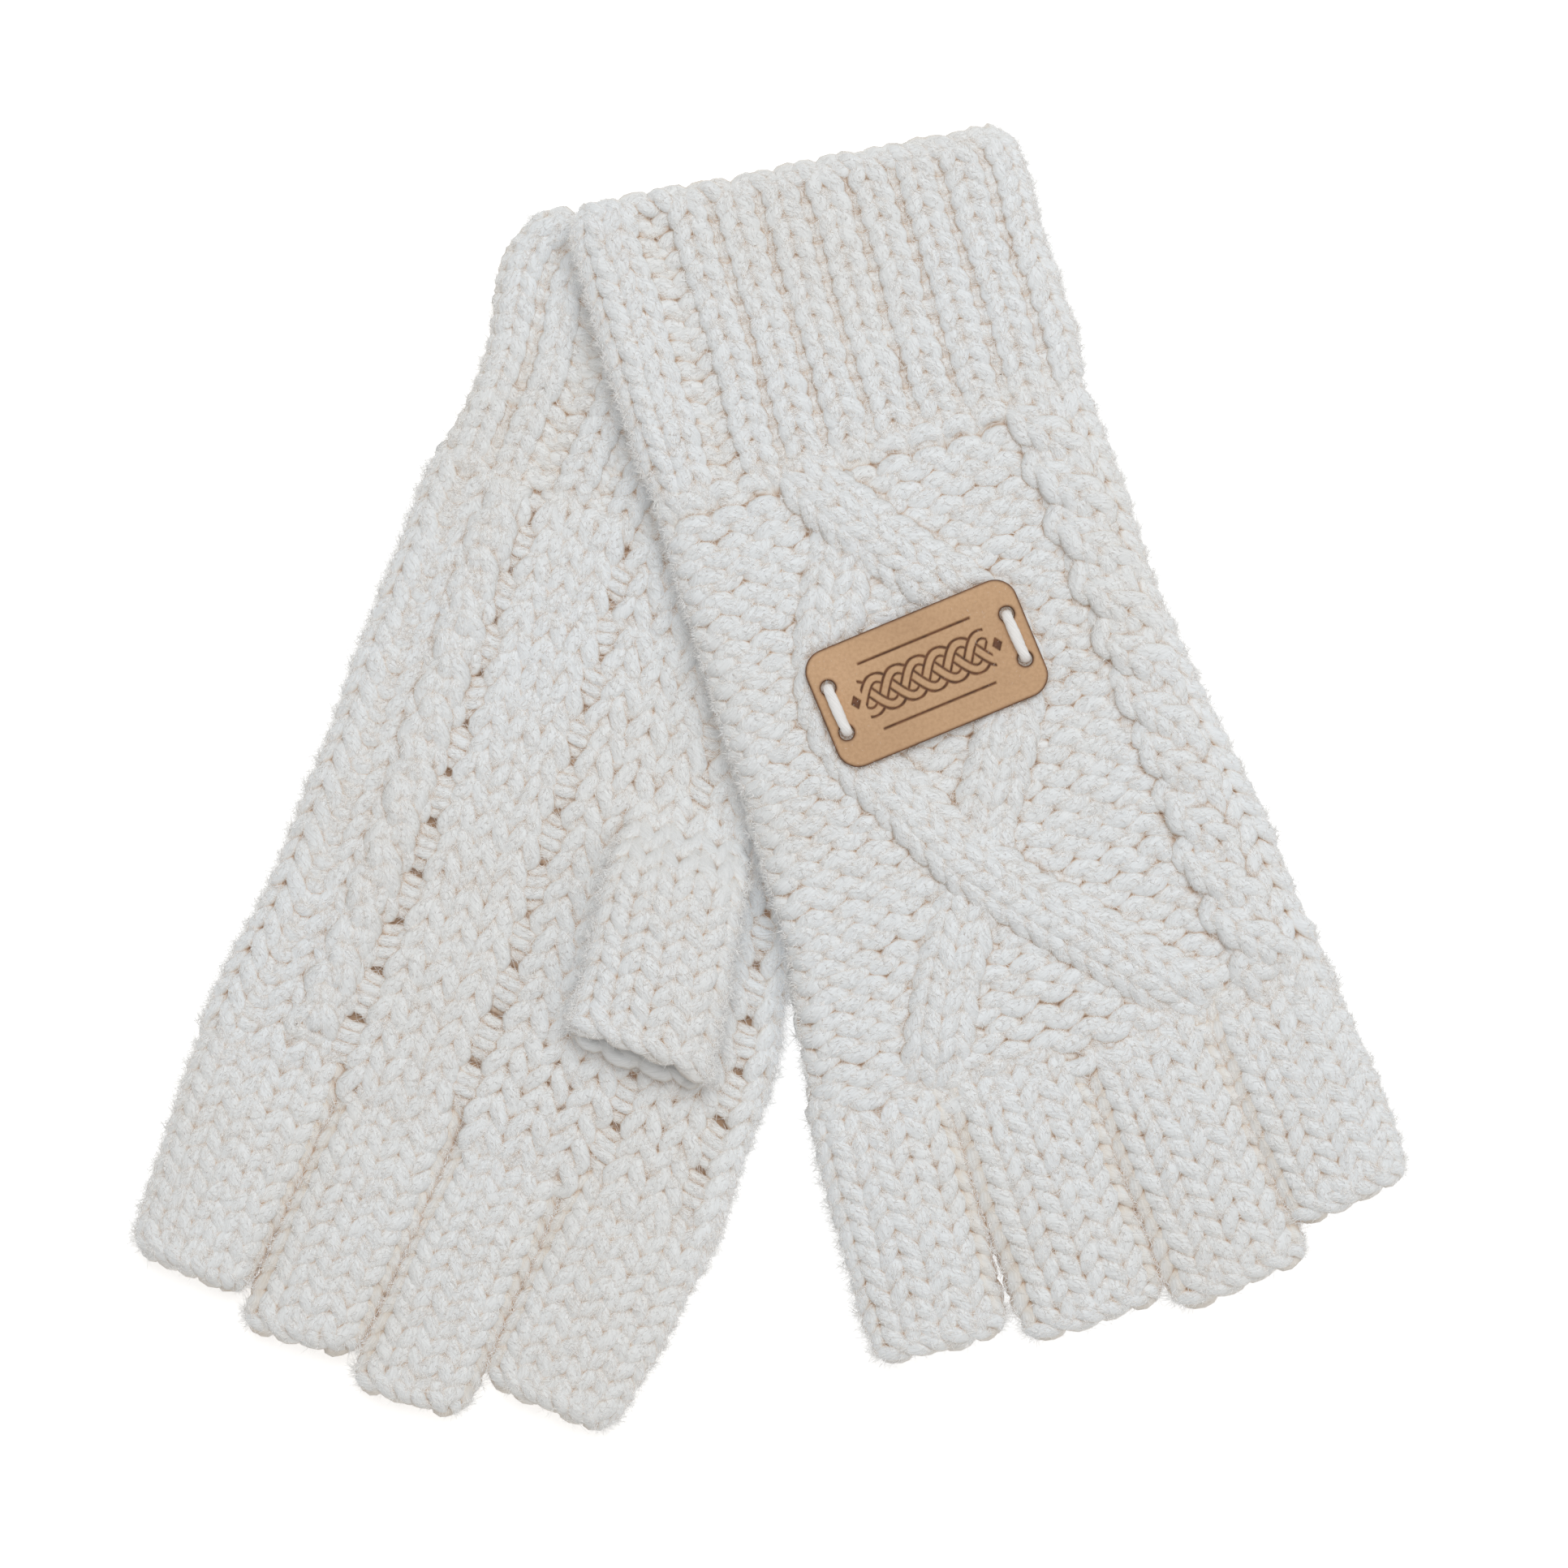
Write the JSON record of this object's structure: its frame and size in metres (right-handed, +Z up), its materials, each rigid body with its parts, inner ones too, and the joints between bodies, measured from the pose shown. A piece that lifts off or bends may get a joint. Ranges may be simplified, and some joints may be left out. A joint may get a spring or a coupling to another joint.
{
  "type": "pair of fingerless gloves",
  "caption": "Pair of thick cable-knit fingerless gloves with ribbed cuffs, open finger and thumb sleeves and a tied leather label, laid crossed and flat.",
  "frame": {"origin": "middle of the pair's footprint on the table", "axes": "+Z up from the table, fingers of both gloves towards -Y, little-finger edges towards -X"},
  "size_m": [0.2388, 0.2458, 0.0258],
  "materials": {
    "left_knit": "thick soft cream yarn, ribbed and open-work knit",
    "right_knit": "thick soft cream yarn, ribbed and cabled knit",
    "seam_yarn": "cream joining yarn",
    "tie_yarn": "white two-ply yarn",
    "leather": "smooth tan leather with burnt edges and an engraved plait"
  },
  "bodies": {
    "left_hand": {"left_cuff": "left_knit", "left_back_panel": "left_knit", "left_palm_panel": "left_knit", "left_little_side_seam": "seam_yarn", "left_thumb_side_seam": "seam_yarn"},
    "right_hand": {"right_back_panel": "right_knit", "right_palm_panel": "right_knit", "right_little_side_seam": "seam_yarn", "right_thumb_side_seam": "seam_yarn", "label": "leather", "label_tie_little_end": "tie_yarn", "label_tie_thumb_end": "tie_yarn"},
    "right_wrist": {"right_cuff": "right_knit"},
    "left_thumb": {"left_thumb_sleeve": "left_knit"},
    "left_index": {"left_index_sleeve": "left_knit"},
    "left_middle": {"left_middle_sleeve": "left_knit"},
    "left_ring": {"left_ring_sleeve": "left_knit"},
    "left_little": {"left_little_sleeve": "left_knit"},
    "right_thumb": {"right_thumb_sleeve": "right_knit"},
    "right_index": {"right_index_sleeve": "right_knit"},
    "right_middle": {"right_middle_sleeve": "right_knit"},
    "right_ring": {"right_ring_sleeve": "right_knit"},
    "right_little": {"right_little_sleeve": "right_knit"}
  },
  "joints": [
    {"name": "right_glove_lift", "type": "slide", "parent": "left_hand", "child": "right_hand", "axis": [0, 0, 1], "range_m": [0, 0.12]},
    {"name": "left_index_fold", "type": "hinge", "parent": "left_hand", "child": "left_index", "pos_m": [-0.02667, -0.08426, 0.0054], "axis": [-0.9135, 0.4067, 0], "range_deg": [0, 75]},
    {"name": "left_middle_fold", "type": "hinge", "parent": "left_hand", "child": "left_middle", "pos_m": [-0.04933, -0.07417, 0.0054], "axis": [-0.9135, 0.4067, 0], "range_deg": [0, 75]},
    {"name": "left_ring_fold", "type": "hinge", "parent": "left_hand", "child": "left_ring", "pos_m": [-0.07007, -0.06494, 0.0054], "axis": [-0.9135, 0.4067, 0], "range_deg": [0, 75]},
    {"name": "left_little_fold", "type": "hinge", "parent": "left_hand", "child": "left_little", "pos_m": [-0.09199, -0.05518, 0.0054], "axis": [-0.9135, 0.4067, 0], "range_deg": [0, 75]},
    {"name": "right_index_fold", "type": "hinge", "parent": "right_hand", "child": "right_index", "pos_m": [0.09397, -0.04635, 0.0165], "axis": [-0.9048, -0.4258, 0], "range_deg": [0, 60]},
    {"name": "right_middle_fold", "type": "hinge", "parent": "right_hand", "child": "right_middle", "pos_m": [0.07025, -0.05291, 0.0165], "axis": [-0.9205, -0.3907, 0], "range_deg": [0, 60]},
    {"name": "right_ring_fold", "type": "hinge", "parent": "right_hand", "child": "right_ring", "pos_m": [0.04589, -0.05938, 0.0165], "axis": [-0.9426, -0.3338, 0], "range_deg": [0, 60]},
    {"name": "right_little_fold", "type": "hinge", "parent": "right_hand", "child": "right_little", "pos_m": [0.02094, -0.06636, 0.0165], "axis": [-0.9646, -0.2639, 0], "range_deg": [0, 60]},
    {"name": "left_thumb_lift", "type": "hinge", "parent": "left_hand", "child": "left_thumb", "pos_m": [-0.01621, -0.01404, 0.0162], "axis": [-0.9781, 0.2079, 0], "range_deg": [0, 80]},
    {"name": "right_thumb_swing", "type": "hinge", "parent": "right_hand", "child": "right_thumb", "pos_m": [0.05913, 0.02126, 0.0051], "axis": [0, 0, 1], "range_deg": [0, 50]},
    {"name": "right_wrist_fold", "type": "hinge", "parent": "right_hand", "child": "right_wrist", "pos_m": [0.01703, 0.0648, 0.0165], "axis": [0.9588, 0.284, 0], "range_deg": [0, 60]}
  ]
}
